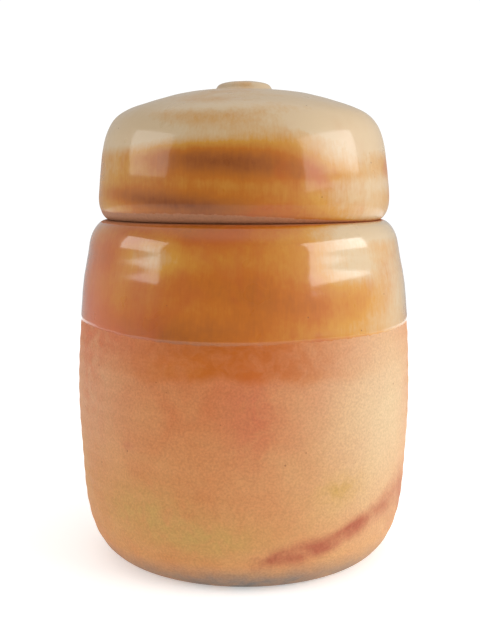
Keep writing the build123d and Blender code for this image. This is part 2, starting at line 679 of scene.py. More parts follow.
@dataclass(frozen=True)
class Specks:
    """Specks up to size millimetres across, at most one to a cell: 1 inside, 0 outside.

    Each cell's own random colour shrinks its speck, so that most cells have none.
    """

    cell: float
    size: float
    offset: float
    colour: str = "000000"
    strength: float = 1.0
    empty: float = 0.72  # share of the cells that have no speck
    blur: float = 0.12  # width of a speck's soft edge, of its size

    def draw(self, recipe: Recipe) -> Socket:
        """Adds the pattern to a recipe.

        Args:
            recipe: The recipe.

        Returns:
            The mask of the specks.
        """
        voronoi = add_node(recipe.tree, "ShaderNodeTexVoronoi", {"feature": "F1"},
                           {"Vector": recipe.laid(Surface.EVEN, self.offset), "Scale": 1 / self.cell,
                            "Randomness": 1.0})
        pick = add_node(recipe.tree, "ShaderNodeSeparateColor", inputs={0: voronoi.outputs["Color"]})
        limit = recipe.ranged(pick.outputs[0], (self.empty, 1.0), (0.0, self.size / (2 * self.cell)))
        inside = recipe.math("SUBTRACT", limit, voronoi.outputs["Distance"])
        return recipe.ranged(inside, (0.0, self.blur * self.size / self.cell), (0.0, 1.0), smooth=True)

    def over(self, recipe: Recipe, body: Socket, within: Socket | float = 1.0) -> Socket:
        """Lays the specks over a coloured body in their own colour, where a mask lets them show."""
        shown = recipe.math("MULTIPLY", self.draw(recipe), within)
        return recipe.covered(body, self.colour, shown, self.strength)


Layers = tuple[tuple[Noise | Specks, float], ...]


def layered(recipe: Recipe, layers: Layers) -> list[tuple[Socket, float]]:
    """Draws each pattern of a pile and keeps its weight beside it."""
    return [(pattern.draw(recipe), weight) for pattern, weight in layers]


@dataclass(frozen=True)
class AmberGlaze:
    """Iron-bearing feldspar glaze on stoneware, poured and dipped, fired to a clear gloss.

    It is a thin coloured glass: gold where it breaks over a ridge, deep amber where it pools. Its
    colour follows a thickness from 0 to 1, and its relief is orange peel with pinholes.
    """

    stops: Stops = (
        (0.0, "c4aa84"), (0.28, "c08428"), (0.52, "b46208"), (0.78, "914b0c"), (1.0, "6a2e0a"))
    rust: str = "ab4d16"
    salmon: str = "c15f2e"
    gloss: float = 1.0
    roughness: Cloud = Cloud(Noise(14, 2, 2), MIDDLE, (0.256, 0.48))
    plain_thickness: float = 0.27  # before its pools, runs and rim are added
    pooling: float = 0.34  # how much a pool adds to the thickness, and a thin place takes away
    runs: Layers = (
        (Noise(9, 3, 31, Surface.RUNS_DOWN), 0.2),
        (Noise(3.2, 4, 7), 0.16),
        (Noise(1.1, 2, 64, Surface.RUNS_DOWN), 0.14))
    rim: Point = (0.2, 1.6)  # millimetres into the glaze over which its thick rim ends
    rim_share: float = 0.1
    rusting: Cloud = Cloud(Noise(38, 3, 50, warp=0.6), (0.5, 0.72), (0.0, 0.55), smooth=True)
    rust_from: Point = (0.05, 0.35)  # thickness over which the rust gets its full strength
    rust_share: Point = (0.2, 1.0)
    iron: Specks = Specks(6.5, 1.1, 3, "4b210d", 0.55)
    relief: Layers = (
        (Noise(3.6, 2, 12), 0.07),
        (Noise(1.2, 2, 27), 0.012),
        (Specks(4.2, 0.9, 17), -0.06))

    def colour(self, recipe: Recipe) -> Socket:
        """Draws the colour by thickness: pooled areas, runs down the wall, rust, iron specks.

        Args:
            recipe: The recipe.

        Returns:
            The colour.
        """
        pool_and_light, runs = recipe.coat(Coat.POOL_AND_LIGHT), layered(recipe, self.runs)
        rim = recipe.ranged(recipe.coat(Coat.GLAZE_REACH), self.rim, (1.0, 0.0), smooth=True)
        # the thickness also carries painted light: paler glaze under highlights and on the lit sides
        thickness = recipe.total((pool_and_light, self.pooling), *runs, (rim, self.rim_share))
        thickness = recipe.math("ADD", thickness, self.plain_thickness)
        thick_enough = recipe.ranged(thickness, self.rust_from, self.rust_share)
        body = recipe.ramp(thickness, self.stops)
        body = recipe.covered(body, self.rust, self.rusting.draw(recipe), thick_enough)
        body = recipe.mixed(recipe.coat(Coat.BLUSH), body, self.salmon)
        return self.iron.over(recipe, body)


@dataclass(frozen=True)
class FlashedClay:
    """Unglazed stoneware, trimmed on the wheel and coloured by the flame: satin, warm, uneven.

    Its relief is sandy grain, trimming lines and a few grits. The grain is under half a
    millimetre in truth, too fine to show; it is drawn at 1.1 mm.
    """

    warm: str = "bf6c3e"
    pale: str = "c8905a"
    # pale cream: painted light on the sides that face the softboxes
    cream_and_light: str = "d0c09a"
    blush: str = "bf6d49"
    ash: str = "bb9354"
    halo: str = "c67f5e"
    flash: str = "a2563e"
    # grey-brown of wiped clay, darker also as painted shade in the joint
    wiped_and_shade: str = "9c7156"
    # grey of the painted shade at the heel, over clay that is greyer there
    foot_shade: str = "746f6b"
    roughness: Cloud = Cloud(Noise(5, 3, 44), MIDDLE, (0.53, 0.63))
    pale_heights: Point = (112.0, 24.0)  # between them the clay goes from warm to pale
    pale_shares: Point = (0.12, 0.88)
    clouds: Cloud = Cloud(Noise(22, 5, 5, warp=0.4), MIDDLE, (-0.22, 0.22))
    ragged: Cloud = Cloud(Noise(7, 4, 60, warp=0.5), (0.3, 0.6), (0.35, 1.15))
    flames: Cloud = Cloud(Noise(13, 6, 90, warp=0.35), MIDDLE, (0.45, 1.2))
    # breaks up the painted shade at the heel
    foot_shade_cloud: Cloud = Cloud(Noise(11, 4, 120, warp=0.6), MIDDLE, (0.55, 1.1))
    grain: Cloud = Cloud(Noise(1.1, 2, 21), MIDDLE, (0.86, 1.08))
    halo_share: float = 0.3
    core: Point = (0.22, 0.95)  # strength of a flame mark over which its dark core appears
    core_share: float = 0.9
    wiped_and_shade_share: float = 0.85
    scorch: Specks = Specks(8.0, 4.4, 40, "843a28", 0.7)
    grit: Specks = Specks(5.0, 1.2, 71, "6a3b26", 0.45)
    relief: Layers = (
        (Noise(1.1, 3, 21), 0.1),
        (Noise(1.6, 2, 9, Surface.LEVEL_LINES), 0.12),
        (Specks(5.0, 1.2, 71), 0.05))

    def colour(self, recipe: Recipe) -> Socket:
        """Draws salmon and tan clouds, then painted light as pale cream, blush, ash, flame marks, grit, painted shade
        at the heel and grain.

        Args:
            recipe: The recipe.

        Returns:
            The colour.
        """
        paler = recipe.ranged(recipe.height(), self.pale_heights, self.pale_shares)
        paler = recipe.math("ADD", paler, self.clouds.draw(recipe))
        body = recipe.mixed(paler, self.warm, self.pale)
        # painted light: paler cream on the sides that face the softboxes
        body = recipe.mixed(recipe.coat(Coat.CREAM_AND_LIGHT), body, self.cream_and_light)
        ragged = self.ragged.draw(recipe)
        for coat, colour in ((Coat.BLUSH, self.blush), (Coat.ASH, self.ash)):
            body = recipe.covered(body, colour, recipe.coat(coat), ragged)
        flash = recipe.coat(Coat.FLASH)
        body = recipe.covered(body, self.halo, flash, self.halo_share)
        core = recipe.math("MULTIPLY", flash, self.flames.draw(recipe))
        core = recipe.ranged(core, self.core, (0.0, self.core_share))
        body = self.scorch.over(recipe, recipe.mixed(core, body, self.flash), within=core)
        body = self.grit.over(recipe, body)
        # wiped clay, also painted shade in the joint between lid and jar
        body = recipe.covered(body, self.wiped_and_shade, recipe.coat(Coat.WIPED_AND_SHADE), self.wiped_and_shade_share)
        # painted shade at the heel
        body = recipe.covered(body, self.foot_shade, recipe.coat(Coat.FOOT_SHADE), self.foot_shade_cloud.draw(recipe))
        return recipe.mixed(1.0, body, recipe.grey(self.grain.draw(recipe)), "MULTIPLY")


@dataclass(frozen=True)
class DippedStoneware:
    """Stoneware dipped in glaze: glossy glaze where it was dipped, bare clay where it wasn't.

    The refractive indices are those of fired clay and of glass.
    """

    name: str
    glaze: AmberGlaze
    clay: FlashedClay
    fray: float = 2.2  # millimetres by which the glaze's edge wanders
    frayed: Noise = Noise(3.0, 3, 80)
    edge: Point = (0.85, 1.35)  # reach plus wander, in millimetres, over which clay gives way to glaze
    wash: Cloud = Cloud(Noise(6, 4, 33, warp=0.7), (0.34, 0.6), (0.55, 1.0))
    wash_colour: str = "b25a24"
    wash_share: float = 0.5  # how much of that colour there is in the overlap
    wash_smoothing: float = 0.125  # how much less rough the clay is where the overlap covers it
    clay_index: float = 1.55
    clay_shine: float = 0.15
    glass_index: float = 1.5
    glass_roughness: float = 0.1

    def material(self) -> bpy.types.Material:
        """Builds one surface whose colour, gloss and relief follow the glaze's edge.

        Returns:
            The material.
        """
        material = bpy.data.materials.new(self.name)
        recipe = Recipe.on(material)
        edge = recipe.total((self.frayed.draw(recipe), self.fray), (recipe.coat(Coat.GLAZE_REACH), 1.0))
        cover = recipe.ranged(edge, self.edge, (0.0, 1.0), smooth=True)
        thin = recipe.math("MULTIPLY", recipe.coat(Coat.WASH), self.wash.draw(recipe), clamp=True)
        glazed, bare = self.glaze.colour(recipe), self.clay.colour(recipe)
        washed = recipe.mixed(thin, bare, recipe.mixed(self.wash_share, glazed, self.wash_colour))
        bare_rough = recipe.total((thin, -self.wash_smoothing), (self.clay.roughness.draw(recipe), 1.0))
        bare_height = recipe.total(*layered(recipe, self.clay.relief))
        glazed_height = recipe.total(*layered(recipe, self.glaze.relief))
        surface = add_node(recipe.tree, "ShaderNodeBsdfPrincipled", inputs={
            "Base Color": recipe.mixed(cover, washed, glazed),
            "Roughness": recipe.eased(cover, bare_rough, self.glaze.roughness.draw(recipe)),
            "Normal": recipe.direction(recipe.eased(cover, bare_height, glazed_height)),
            "Coat Weight": recipe.math("MULTIPLY", cover, self.glaze.gloss),
            "IOR": self.clay_index,
            "Specular IOR Level": self.clay_shine,
            "Coat IOR": self.glass_index,
            "Coat Roughness": self.glass_roughness})
        add_node(recipe.tree, "ShaderNodeOutputMaterial", inputs={"Surface": surface.outputs[0]})
        return material


@dataclass(frozen=True)
class GlazeLayer:
    """Thickness of the glaze as real shape.

    Going into the glaze, the surface rises from below the outline by thickness times (1 - e to
    the minus reach over run), with a bead of glaze near the edge.
    """

    thickness: float = 0.26
    below: float = 0.24
    run: float = 0.8
    bead: float = 0.1
    bead_reach: float = 1.6
    bead_width: float = 1.4

    def lift(self, reach: Grid) -> Grid:
        """Lift of the surface, by the reach into the glaze from its edge."""
        grown = self.thickness * (1 - np.exp(-np.clip(reach, 0, None) / self.run))
        return grown + self.bead * hump(self.bead_reach, self.bead_width, reach) - self.below


@dataclass(frozen=True)
class Dip:
    """How the jar was dipped: where its glaze ends, and the thin overlap below that edge."""

    level: float = 122.8  # height of the glaze's lower edge, at the front
    back_rise: float = 7.0  # how much further up the wall the edge lies at the back
    wave: Waves = Waves(0.7, 100.0, 4)
    bare_lip: float = 3.2  # clay wiped clean under the ledge
    # Narrows the bare lip on the right, where the softbox lights the joint and its painted shade is lighter: painted
    # light.
    lip_lit_side: Side = Side(55, 45, -2.0)
    lip_wave: Waves = Waves(0.5, 90, 11)
    bare_bore: float = 3.0  # clay wiped clean inside the rim
    wash_depth: float = 15.0
    wash_front: float = 3.5  # how much deeper the overlap is at the front, and less so behind
    wash_waves: tuple[Waves, ...] = (Waves(2.2, 60, 21), Waves(1.5, 60, 22, 14, 26))
    wash_blur: float = 3.2  # half the length over which its lower edge fades
    wash_least: float = 0.05  # its strength away from the two sides
    wash_sides: tuple[Side, ...] = (Side(-5, 29), Side(150, 40))

    def lower_edge(self, outline: Outline, angle: Grid) -> Grid:
        """Length of the glaze's lower edge: the level's, the rise times sin(angle / 2)^2, a wave."""
        rise = self.back_rise * np.sin(np.radians(turn_apart(angle, 0.0)) / 2) ** 2
        return outline.length_at("side", self.level) + rise + self.wave.over(angle)

    def lip(self, angle: Grid) -> Grid:
        """Width of the clay wiped clean under the ledge."""
        return self.bare_lip + self.lip_lit_side.mask(angle) + self.lip_wave.over(angle)

    def wash(self, below: Grid, angle: Grid) -> Grid:
        """Works out the strength of the overlap.

        Its depth is the wash depth, plus what it gains at the front times the cosine of the angle,
        plus the waves. The strength falls to 0 round that depth by an eased step, and it is full
        only on the two sides.

        Args:
            below: Lengths down the wall from the glaze's lower edge.
            angle: Angles in degrees.

        Returns:
            The strength, from 0 to 1.
        """
        depth = self.wash_depth + self.wash_front * np.cos(np.radians(angle))
        for wave in self.wash_waves:
            depth = depth + wave.over(angle)
        sides = np.clip(sum(side.mask(angle) for side in self.wash_sides), 0, 1)
        strength = self.wash_least + (1 - self.wash_least) * sides
        return smoothstep(depth + self.wash_blur, depth - self.wash_blur, below) * strength


@dataclass(frozen=True)
class Firing:
    """What the fire did to the jar's bare clay: flame marks, ash, blush and a paler tone, with painted light as cream
    on the lit sides and painted shade at the heel.
    """

    flash: tuple[Patch, ...] = (
        Patch(13, 20.5, 15, 6.5, 0.9, 0.3), Patch(36, 27.5, 14, 6.5, 0.85, 0.55),
        Patch(58, 40, 11, 7, 0.4, 0.6), Patch(16, 21, 7, 4, 0.35, 0.3), Patch(33, 27, 9, 3.5, 0.35, 0.6),
        Patch(75, 34, 20, 20, 0.7), Patch(120, 20, 30, 10, 0.6), Patch(-39.5, 71, 3.6, 3.2, 0.5),
        Patch(-130, 14, 26, 7, 0.6), Patch(180, 60, 40, 16, 0.35))
    ash: tuple[Patch, ...] = (
        Patch(-34, 38, 18, 14, 0.8), Patch(-10, 28, 16, 9, 0.8), Patch(33.5, 51, 7, 6, 0.8),
        Patch(25, 52, 14, 36, 0.2), Patch(-90, 50, 24, 20, 0.5), Patch(160, 90, 26, 16, 0.5))
    blush: tuple[Patch, ...] = (
        Patch(3, 90, 9, 24, 0.8), Patch(-62, 95, 12, 30, 0.5), Patch(100, 80, 24, 26, 0.6),
        Patch(-66, 138, 20, 26, 0.75), Patch(-46, 121, 14, 9, 0.5), Patch(-150, 92, 30, 18, 0.5))
    # Pale cream patches: those at 53 and -63 degrees are painted light on the sides that face the softboxes; the one at
    # the back is a paler tone of the clay.
    cream_and_light: tuple[Patch, ...] = (
        Patch(53, 86, 34, 64, 0.7), Patch(-63, 98, 23, 40, 0.42), Patch(170, 40, 40, 30, 0.3))
    # Painted shade at the heel, where it stands on the table, strongest at the front.
    foot_shade_top: float = 18.0
    foot_shade_wave: Waves = Waves(1.8, 60, 23, 12, 14)
    foot_shade_full: float = 3.0  # height below which the painted shade no longer grows
    foot_shade_least: float = 0.5
    foot_shade_side: Side = Side(2, 34, 0.5)
    foot_shade_under: float = 0.1  # share of it on the underside
    foot_shade_fade: Point = (14.0, 1.0)  # lengths before the foot's outer edge between which it grows

    def marks(self, angle: Grid, height: Grid) -> dict[Coat, Grid]:
        """Spreads each kind of mark over the clay, as a grid of strengths for its coat."""
        kinds = {
            Coat.FLASH: self.flash, Coat.ASH: self.ash, Coat.BLUSH: self.blush, Coat.CREAM_AND_LIGHT: self.cream_and_light}
        return {coat: patched(patches, angle, height) for coat, patches in kinds.items()}

    def foot_shade(self, turning: Turning) -> Grid:
        """Paints shade on the heel where it stands on the table, mostly at the front, and leaves the underside almost
        clean.

        Three shares are multiplied: an eased step down from a wavy height, a bell round the front
        over a least share, and an eased step from the underside to the outside of the foot.

        Args:
            turning: The jar's turning.

        Returns:
            The strength of the painted shade, from 0 to 1, also for the inside, which has none in truth.
        """
        angle, foot = turning.angles(), turning.outline.starts["side"]
        rising = smoothstep(self.foot_shade_top + self.foot_shade_wave.over(angle), self.foot_shade_full, turning.heights())
        outside = smoothstep(foot - self.foot_shade_fade[0], foot - self.foot_shade_fade[1], turning.lengths())
        round_foot = self.foot_shade_least + self.foot_shade_side.mask(angle)
        return rising * round_foot * (self.foot_shade_under + (1 - self.foot_shade_under) * outside)


def thrown_piece(pot: "JarBody | CapLid", name: str, finish: DippedStoneware, body: str, node: str) -> bpy.types.Object:
    """Makes a pot as one closed piece, in place of a node of the frame.

    Args:
        pot: The pot, which gives its outline, its coats and the lift of its wall.
        name: Name of the piece and of its mesh.
        finish: Its finish.
        body: Body of the frame that the piece moves with.
        node: Node of the frame that the piece stands for.

    Returns:
        The object, at the origin, with its place in the vertices of its mesh.
    """
    turning = Turning(pot.outline(), pot.around)
    coats = pot.coats(turning)
    mesh = turning.mesh(name, pot.lift(turning, coats[Coat.GLAZE_REACH]))
    turning.paint(mesh, coats)
    mesh.materials.append(finish.material())
    piece = bpy.data.objects.new(name, mesh)
    bpy.context.scene.collection.objects.link(piece)
    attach(piece, body)
    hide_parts(node)
    return piece


@dataclass
class JarBody:
    """The thrown jar: a barrel on a trimmed foot, with a flat ledge and a short neck."""

    belly_radius: float
    rim_height: float
    ledge_height: float
    belly_height: float = 92.0
    heel_inset: float = 21.0
    shoulder_inset: float = 6.5
    shoulder_turn: float = 16.0
    ledge_inset: float = 9.7
    wall: float = 5.8
    floor: float = 8.0
    floor_bend: float = 14.0
    neck_inset: float = 6.6  # outside of the neck, inside the edge of the ledge
    neck_wall: float = 5.6
    neck_root: float = 1.05
    bore_corner: float = 3.0
    ring_width: float = 13.0
    ring_corners: Point = (2.0, 0.8)
    hollow_depth: float = 1.4
    hollow_slope: float = 2.4
    heel_start: Point = (1.0, 0.35)  # direction in which the heel leaves the foot
    heel_shares: tuple[Point, ...] = ((0.42, 0.068), (0.757, 0.228), (0.93, 0.543))
    upper_shares: tuple[Point, ...] = ((0.277, 0.478),)
    turn_shares: tuple[Point, ...] = ((0.247, 0.69),)
    side_step: float = 1.0  # the steps are distances between samples of the outline
    ledge_step: float = 1.4
    bore_step: float = 1.6
    inside_step: float = 2.4
    flat_step: float = 3.0
    around: int = 256
    dip: Dip = Dip()
    firing: Firing = Firing()
    layer: GlazeLayer = GlazeLayer()
    wiped_and_shade_blur: float = 1.0
    lit_side: Side = Side(60, 45, 0.6)  # where the wiped clay shows less: painted light on the side that the right softbox lights
    pool_wave: Waves = Waves(0.22, 90, 8)
    # Thins the glaze on the right, where the softbox lights the jar: painted light.
    pool_lit_side: Side = Side(70, 32, -1.3)
    thin_lit_lip: Patch = Patch(52, -3, 40, 5, -0.9)  # its height counts from the ledge; thins the glaze just under the ledge on the lit right: painted light
    # The thin patches at 37, -34 and 34 degrees lie under the softboxes' highlights on the shoulder and paint them
    # paler: painted highlight. The rest are thickness of the glaze.
    pools_and_highlights: tuple[Patch, ...] = (
        Patch(37, 160, 13, 10, -1.25), Patch(-34, 162, 13, 9, -1.15), Patch(-62, 156, 14, 14, -0.2),
        Patch(34, 142, 14, 9, -0.25), Patch(0, 152, 22, 12, 0.15))
    outer_rings: Rings = Rings(8.5, 0.2)
    inner_rings: Rings = Rings(9.0, 0.7)
    side_ease: Ease = ((4, 16), (6, 14))
    inside_ease: Ease = ((4, 12), (2, 14))
    filling: float = 0.75  # share of a ring's depth that the glaze fills
    filling_reach: Point = (-1.0, 4.0)
    unevenness: Waves = Waves(0.14, 150, 3)
    sway: float = 0.75  # swell of the wall below the shoulder, and its fall back above
    sway_depths: tuple[float, float, float] = (51.0, 31.0, 5.0)  # below the ledge: start, top, end
    sway_end: float = 9.0  # length before the ledge over which it fades

    def outline(self) -> Outline:
        """Draws the outline from the middle of the underside, up the outside and down the inside.

        Returns:
            The outline, with its stretches.
        """
        foot = (self.belly_radius - self.heel_inset, 0.0)
        belly = (self.belly_radius, self.belly_height)
        shoulder = (self.belly_radius - self.shoulder_inset, self.ledge_height - self.shoulder_turn)
        ledge = (shoulder[0] - self.ledge_inset, self.ledge_height)
        side = [foot, *between(foot, belly, self.heel_shares), belly,
                *between(belly, shoulder, self.upper_shares), shoulder,
                *between(shoulder, ledge, self.turn_shares), ledge]
        wall = pulled_in(side, self.wall)[1:]
        ring = foot[0] - self.ring_width
        neck, bore = ledge[0] - self.neck_inset, ledge[0] - self.neck_inset - self.neck_wall
        rim = self.rim_height - self.neck_wall / 2
        deck = self.ledge_height - self.wall
        deck_edge = (ledge[0] - self.wall, deck)
        floor_edge = (wall[0][0] - self.floor_bend, self.floor)
        underside = [(0.0, self.hollow_depth), (ring - self.hollow_slope, self.hollow_depth),
                     (ring, 0.0), foot]
        neck_path = [ledge, (neck, self.ledge_height), (neck, rim)]
        bore_path = [(bore, rim), (bore, deck), deck_edge]
        inside = smooth_run([floor_edge, *wall, deck_edge], OUTWARD, INWARD, self.inside_step)
        return Outline.of({
            "underside": cornered_run(underside, self.ring_corners, self.flat_step),
            "side": smooth_run(side, self.heel_start, INWARD, self.side_step),
            "ledge": cornered_run(neck_path, (self.neck_root,), self.ledge_step),
            "rim": half_round((neck, rim), (bore, rim)),
            "bore": cornered_run(bore_path, (self.bore_corner,), self.bore_step),
            "inside": inside[::-1],
            "floor": straight_run(floor_edge, (0.0, self.floor), self.flat_step),
        })

    def coats(self, turning: Turning) -> dict[Coat, Grid]:
        """Works out where the glaze lies and what the fire did to the clay, with light and shade painted on in places.

        Args:
            turning: The jar's turning.

        Returns:
            A grid of values for each coat.
        """
        outline, angle, along = turning.outline, turning.angles(), turning.lengths()
        height, starts = turning.heights(), outline.starts
        edge, lip = self.dip.lower_edge(outline, angle), self.dip.lip(angle)
        outside = np.minimum(along - edge, starts["ledge"] - lip - along)
        on_side = (along >= starts["side"]) & (along < starts["ledge"])
        wiped_and_shade = smoothstep(-lip - self.wiped_and_shade_blur, 0.0, along - starts["ledge"])
        wiped_and_shade = wiped_and_shade * (along < starts["inside"])
        pool_and_light = self.pool_wave.over(angle, along) + self.pool_lit_side.mask(angle)
        pool_and_light = pool_and_light + self.thin_lit_lip.mask(angle, height - self.ledge_height)
        coats = {
            Coat.GLAZE_REACH: np.maximum(outside, along - starts["bore"] - self.dip.bare_bore),
            Coat.POOL_AND_LIGHT: pool_and_light + patched(self.pools_and_highlights, angle, height),
            Coat.WASH: self.dip.wash(edge - along, angle) * on_side,
            Coat.WIPED_AND_SHADE: wiped_and_shade * (1 - self.lit_side.mask(angle)),
            Coat.FOOT_SHADE: self.firing.foot_shade(turning) * (along < edge)}
        marks = self.firing.marks(angle, height)
        return coats | {coat: mark * on_side for coat, mark in marks.items()}

    def lift(self, turning: Turning, glaze_reach: Grid) -> Grid:
        """Shapes the wall: throwing rings, a slow unevenness, a swell, and the glaze's thickness.

        The lift is the sum of them. Each fades by eased steps before the corners of the outline.

        Args:
            turning: The jar's turning.
            glaze_reach: Millimetres into the glaze from its edge.

        Returns:
            Millimetres towards the air.
        """
        outline, angle, along = turning.outline, turning.angles(), turning.lengths()
        side = outline.eased("side", "ledge", self.side_ease)
        inside = outline.eased("inside", "end", self.inside_ease)
        showing = 1 - self.filling * smoothstep(*self.filling_reach, glaze_reach)
        rings = side * showing * self.outer_rings.over(along, angle)
        rings = rings + inside * self.inner_rings.over(along, angle)
        start, top, end = (self.ledge_height - depth for depth in self.sway_depths)
        sway = self.sway * (1 - 2 * smoothstep(top, end, turning.heights()))
        sway = sway * smoothstep(start, top, turning.heights())
        sway = sway * smoothstep(outline.starts["ledge"], outline.starts["ledge"] - self.sway_end, along)
        uneven = self.unevenness.over(angle, along)
        return rings + uneven * side + sway + self.layer.lift(glaze_reach) * side

    def build(self, finish: DippedStoneware) -> bpy.types.Object:
        """Makes the jar, in place of the plain jar body."""
        return thrown_piece(self, "thrown_jar", finish, "jar", "jar_body")


@dataclass
class CapLid:
    """The lid: a deep thrown cap with a swelling skirt, a low dome and a pressed knob.

    The heights of its patches and of its dome count from its foot.
    """

    foot_height: float
    top_height: float
    foot_radius: float = 71.4
    skirt_bulge: float = 5.0
    bulge_height: float = 15.0
    crown_inset: float = 4.7
    crown_height: float = 44.8
    knob_radius: float = 14.0
    knob_root: float = 4.0
    knob_height: float = 4.9
    wall: float = 5.6
    foot_width: float = 3.9
    foot_flare: Point = (1.0, 0.5)  # direction in which the skirt leaves the foot
    flare_shares: tuple[Point, ...] = ((0.80, 0.307),)
    skirt_shares: tuple[Point, ...] = ((0.34, 0.537),)
    dome_shares: tuple[Point, ...] = ((0.076, 0.314), (0.33, 0.65), (0.665, 0.89))
    knob_shares: tuple[Point, ...] = ((0.172, 0.18), (0.222, 0.47), (0.44, 0.857))
    inside_step: float = 1.8
    outside_step: float = 0.8
    around: int = 288
    bare_skirt: float = 6.2  # bare clay above the foot
    # Narrows the bare skirt on the right, where the softbox lights the joint and its painted shade is lighter: painted
    # light.
    bare_lit_side: Side = Side(60, 45, -5.0)
    bare_wave: Waves = Waves(0.5, 90, 14)
    bare_inside: float = 22.0
    inside_wave: Waves = Waves(0.8, 90, 14)
    wiped_and_shade_reach: Point = (1.5, -0.5)
    lit_side: Side = Side(60, 45, 0.5)  # where the wiped clay shows less: painted light on the side that the right softbox lights
    # The thin patches at 40, -36, 34 and -50 degrees lie under the softboxes' highlights and paint them paler: painted
    # highlight. The rest are dark, gold and thin bands of the glaze.
    bands_and_highlights: tuple[Patch, ...] = (
        Patch(-6, 28.5, 36, 6.0, 0.95, -0.03), Patch(-30, 10, 30, 4.2, 1.0, -0.12),
        Patch(-4, 18.5, 70, 3.0, -0.15), Patch(-50, 38, 26, 9, -0.7), Patch(110, 27, 50, 5, 0.6, 0.04),
        Patch(160, 12, 50, 4, 0.8, 0.05), Patch(140, 19, 60, 4, -0.6), Patch(40, 22, 15, 14, -0.35),
        Patch(-36, 37, 14, 9, -0.2), Patch(34, 38, 14, 8, -0.3))
    pool_wave: Waves = Waves(0.15, 60, 18)
    # Thins the glaze on both sides that face the softboxes: painted light.
    thin_lit_sides: tuple[Side, ...] = (Side(62, 34, -1.2), Side(-64, 22, -0.6))
    thin_dome: float = 1.3  # how much the glaze thins up the dome
    dome_heights: Point = (30.0, 46.0)  # heights between which it does
    layer: GlazeLayer = GlazeLayer(thickness=0.24, below=0.26, bead=0.0)
    outer_rings: Rings = Rings(10.5, 0.05)
    inner_rings: Rings = Rings(8.0, 0.6)
    outside_ease: Ease = ((3, 9), (1, 8))
    inside_ease: Ease = ((3, 14), (10, 20))
    unevenness: Waves = Waves(0.1, 110, 6)
    slack: float = 0.14  # how far the uneven wall lies inside the outline

    def outline(self) -> Outline:
        """Draws the outline from the middle of the hollow, down the inside and up the outside.

        Returns:
            The outline, with its stretches.
        """
        base = self.foot_height
        foot = (self.foot_radius, base)
        bulge = (self.foot_radius + self.skirt_bulge, base + self.bulge_height)
        crown = (bulge[0] - self.crown_inset, base + self.crown_height)
        knob_root = (self.knob_radius + self.knob_root, self.top_height - self.knob_height)
        knob_top = (0.0, self.top_height)
        side = [foot, *between(foot, bulge, self.flare_shares), bulge,
                *between(bulge, crown, self.skirt_shares), crown,
                *between(crown, knob_root, self.dome_shares), knob_root]
        wall = pulled_in(side, self.wall)[1:]
        inner_foot = (self.foot_radius - self.foot_width, base)
        hollow_top = (0.0, knob_root[1] - self.wall)
        inside = smooth_run([inner_foot, *wall, hollow_top], UPWARD, INWARD, self.inside_step)
        knob = [*side, *between(knob_root, knob_top, self.knob_shares), knob_top]
        return Outline.of({
            "inside": inside[::-1],
            "foot": straight_run(inner_foot, foot, self.outside_step),
            "skirt": smooth_run(knob, self.foot_flare, INWARD, self.outside_step),
        })

    def coats(self, turning: Turning) -> dict[Coat, Grid]:
        """Works out where the glaze lies on the lid and how thick it is, thinner where highlights and the lit sides are
        painted paler.

        Args:
            turning: The lid's turning.

        Returns:
            A grid of values for each coat that the lid has.
        """
        outline, angle, along = turning.outline, turning.angles(), turning.lengths()
        height = turning.heights() - self.foot_height
        bare = self.bare_skirt + self.bare_lit_side.mask(angle) + self.bare_wave.over(angle)
        outside = along - outline.starts["skirt"] - bare
        inside = outline.starts["foot"] - self.bare_inside - along + self.inside_wave.over(angle)
        reach = np.maximum(outside, inside)
        pool_and_light = patched(self.bands_and_highlights, angle, height) - self.thin_dome * smoothstep(*self.dome_heights, height)
        pool_and_light = pool_and_light + sum(side.mask(angle) for side in self.thin_lit_sides)
        pool_and_light = pool_and_light * (along > outline.starts["skirt"]) + self.pool_wave.over(angle, along)
        wiped_and_shade = smoothstep(*self.wiped_and_shade_reach, reach) * (1 - self.lit_side.mask(angle))
        return {Coat.GLAZE_REACH: reach, Coat.POOL_AND_LIGHT: pool_and_light, Coat.WIPED_AND_SHADE: wiped_and_shade}

    def lift(self, turning: Turning, glaze_reach: Grid) -> Grid:
        """Shapes the wall: throwing rings, a slow unevenness and the glaze's thickness.

        The lift is the sum of them. Each fades by eased steps before the corners of the outline.

        Args:
            turning: The lid's turning.
            glaze_reach: Millimetres into the glaze from its edge.

        Returns:
            Millimetres towards the air.
        """
        outline, angle, along = turning.outline, turning.angles(), turning.lengths()
        outside = outline.eased("skirt", "end", self.outside_ease)
        inside = outline.eased("inside", "foot", self.inside_ease)
        rings = outside * self.outer_rings.over(along - outline.starts["skirt"], angle)
        rings = rings + inside * self.inner_rings.over(along, angle)
        uneven = self.unevenness.over(angle, along) - self.slack
        return rings + uneven * outside + self.layer.lift(glaze_reach) * outside

    def build(self, finish: DippedStoneware) -> bpy.types.Object:
        """Makes the lid, in place of the plain one."""
        return thrown_piece(self, "thrown_lid", finish, "lid", "lid")


def towards(facing: float, elevation: float) -> tuple[float, float, float]:
    """Unit vector from the jar towards a facing and an elevation, in degrees."""
    turn, up = math.radians(facing), math.radians(elevation)
    return math.cos(up) * math.sin(turn), -math.cos(up) * math.cos(turn), math.sin(up)


